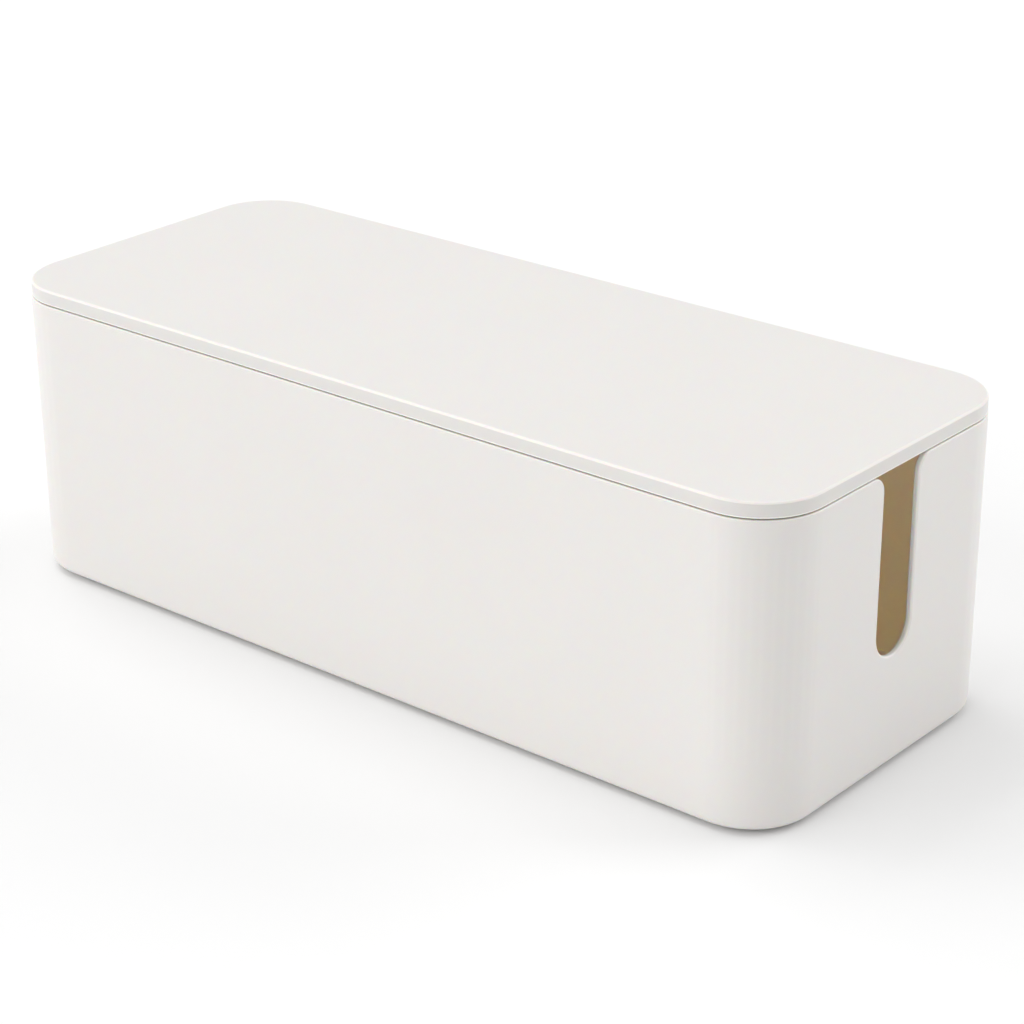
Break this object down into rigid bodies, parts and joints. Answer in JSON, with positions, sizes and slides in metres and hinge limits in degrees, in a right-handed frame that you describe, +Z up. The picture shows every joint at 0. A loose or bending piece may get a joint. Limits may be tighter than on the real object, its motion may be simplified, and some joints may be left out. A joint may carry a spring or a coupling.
{
  "type": "cable management box",
  "caption": "Plain white moulded box that hides a power strip and its leads, with a cable slot in each end wall and a flat lid that lifts off.",
  "frame": {"origin": "centre of the box's footprint, on the surface that its feet stand on", "axes": "+X along the box, towards the end wall whose cable slot the picture shows; +Y from the long front wall to the back wall; +Z up"},
  "size_m": [0.4, 0.1584, 0.1326],
  "materials": {
    "tub_plastic": "fine matt moulded texture",
    "lid_plastic": "fine matt moulded texture",
    "foot_rubber": "plain matt rubber"
  },
  "bodies": {
    "tub": {"tub": "tub_plastic", "foot_front_left": "foot_rubber", "foot_front_right": "foot_rubber", "foot_back_left": "foot_rubber", "foot_back_right": "foot_rubber"},
    "lid": {"lid": "lid_plastic"}
  },
  "joints": [
    {"name": "lid_lift", "type": "slide", "parent": "tub", "child": "lid", "axis": [0, 0, 1], "range_m": [0, 0.15]}
  ]
}
